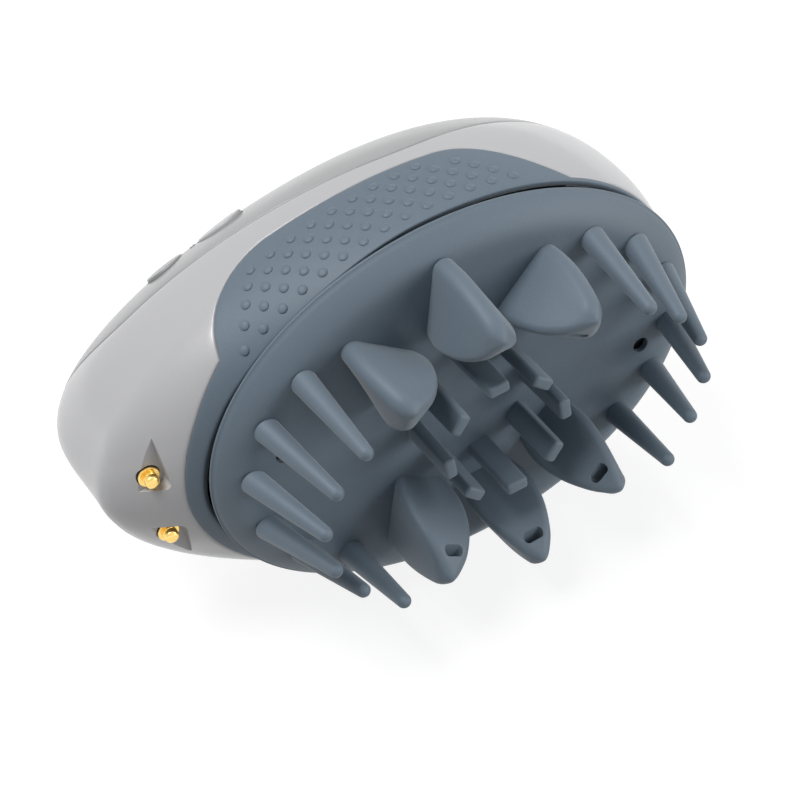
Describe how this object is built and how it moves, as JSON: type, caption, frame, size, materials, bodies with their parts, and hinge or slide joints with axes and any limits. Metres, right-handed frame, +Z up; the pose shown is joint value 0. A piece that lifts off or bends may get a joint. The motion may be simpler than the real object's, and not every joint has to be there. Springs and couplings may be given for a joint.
{
  "type": "electric scalp massager",
  "caption": "Hand-held scalp massager: pearl dome shell with soft side grips, shoulder buttons and an oval soft brush of kneading claws, pins and blocks.",
  "frame": {"origin": "bottom centre of the bounding box, where the long side grip rests on a surface", "axes": "+X from the charging-contact end to the far end, -Y the way the brush fingers point, +Z up through the grip with the buttons"},
  "size_m": [0.1408, 0.0881, 0.092],
  "materials": {
    "pearl_housing": "fine pearl gloss, very smooth",
    "grey_cover": "pearl grey satin gloss",
    "slate_rubber": "smooth matt blue-grey silicone",
    "black_rubber": "matt black rubber",
    "gold_plate": "polished gold-plated contacts",
    "grey_button": "satin mid grey",
    "pale_button": "pearl grey gloss",
    "clear_lens": "small clear light guide",
    "switch_black": "matt black",
    "green_board": "green solder mask",
    "cell_wrap": "shrink film over a steel can",
    "inner_plastic": "plain moulded plastic",
    "motor_steel": "plated steel can",
    "screw_steel": "zinc-plated steel",
    "pinion_brass": "turned brass",
    "gear_plastic": "natural acetal",
    "dark_plastic": "dark moulded plastic"
  },
  "bodies": {
    "housing": {"main_housing": "pearl_housing", "upper_cover": "grey_cover", "grip_band": "slate_rubber", "cover_gasket": "black_rubber", "charge_contacts": "gold_plate", "contact_seals": "black_rubber", "status_lens": "clear_lens", "button_membrane": "black_rubber", "key_switches": "switch_black", "switch_board": "green_board", "circuit_board": "green_board", "battery_cell": "cell_wrap", "battery_cradle": "inner_plastic", "motor": "motor_steel", "motor_magnets": "switch_black", "motor_screws": "screw_steel", "reduction_axle": "screw_steel", "crank_axle": "screw_steel", "gear_frame": "inner_plastic", "frame_screws": "screw_steel", "output_bearing": "pinion_brass", "lower_bearing": "pinion_brass", "shaft_seal": "black_rubber", "drive_deck": "dark_plastic", "deck_gasket": "black_rubber", "deck_screws": "screw_steel"},
    "power_key": {"power_button": "grey_button"},
    "mode_key": {"mode_button": "pale_button"},
    "rotor": {"motor_armature": "motor_steel", "motor_shaft": "screw_steel", "motor_pinion": "pinion_brass"},
    "reduction": {"reduction_gear": "gear_plastic"},
    "crank": {"crank_gear": "gear_plastic"},
    "output": {"output_shaft": "screw_steel"},
    "brush_head": {"brush_base": "dark_plastic", "brush_latches": "screw_steel", "brush_sheet": "slate_rubber"},
    "centre_group": {"centre_carrier": "dark_plastic", "centre_blocks": "slate_rubber", "upper_middle_claw": "slate_rubber", "lower_middle_claw": "slate_rubber"},
    "left_group": {"left_carrier": "dark_plastic", "left_pins": "slate_rubber", "upper_left_claw": "slate_rubber", "lower_left_claw": "slate_rubber"},
    "right_group": {"right_carrier": "dark_plastic", "right_pins": "slate_rubber", "upper_right_claw": "slate_rubber", "lower_right_claw": "slate_rubber"},
    "idler": {"idler_gear": "gear_plastic"}
  },
  "joints": [
    {"name": "brush_release", "type": "slide", "parent": "housing", "child": "brush_head", "axis": [0, -1, 0], "range_m": [0, 0.025]},
    {"name": "centre_turn", "type": "hinge", "parent": "brush_head", "child": "centre_group", "pos_m": [0.00947, -0.0146, 0.046], "axis": [0, -1, 0], "range_deg": [-4, 4], "deforming": ["brush_sheet"]},
    {"name": "left_turn", "type": "hinge", "parent": "brush_head", "child": "left_group", "pos_m": [-0.01503, -0.0146, 0.046], "axis": [0, -1, 0], "range_deg": [-4, 4], "deforming": ["brush_sheet"]},
    {"name": "right_turn", "type": "hinge", "parent": "brush_head", "child": "right_group", "pos_m": [0.03397, -0.0146, 0.046], "axis": [0, -1, 0], "range_deg": [-4, 4], "deforming": ["brush_sheet"]},
    {"name": "idler_turn", "type": "hinge", "parent": "brush_head", "child": "idler", "pos_m": [-0.00278, -0.0131, 0.046], "axis": [0, -1, 0], "range_deg": [-8.3, 8.3]},
    {"name": "output_turn", "type": "hinge", "parent": "housing", "child": "output", "pos_m": [0.00947, -0.0026, 0.046], "axis": [0, -1, 0], "range_deg": [-4.1, 4.1]},
    {"name": "crank_spin", "type": "hinge", "parent": "housing", "child": "crank", "pos_m": [0.02647, 0.0004, 0.046], "axis": [0, -1, 0], "continuous": true},
    {"name": "reduction_spin", "type": "hinge", "parent": "housing", "child": "reduction", "pos_m": [0.01867, 0.0014, 0.0595], "axis": [0, -1, 0], "continuous": true},
    {"name": "motor_spin", "type": "hinge", "parent": "housing", "child": "rotor", "pos_m": [0.03047, 0.0034, 0.0554], "axis": [0, -1, 0], "continuous": true},
    {"name": "power_press", "type": "slide", "parent": "housing", "child": "power_key", "axis": [0.24, -0.55, -0.8], "range_m": [0, 0.0006], "stiffness_N_per_m": 800, "springref_m": -0.0005},
    {"name": "mode_press", "type": "slide", "parent": "housing", "child": "mode_key", "axis": [0.24, -0.55, -0.8], "range_m": [0, 0.0006], "stiffness_N_per_m": 800, "springref_m": -0.0005}
  ],
  "couplings": [
    {"joint": "left_turn", "follows": "centre_turn", "ratio": 1},
    {"joint": "right_turn", "follows": "centre_turn", "ratio": -1},
    {"joint": "idler_turn", "follows": "centre_turn", "ratio": -2.0625},
    {"joint": "output_turn", "follows": "centre_turn", "ratio": 1},
    {"joint": "reduction_spin", "follows": "crank_spin", "ratio": -3.3333},
    {"joint": "motor_spin", "follows": "crank_spin", "ratio": 13.333}
  ]
}
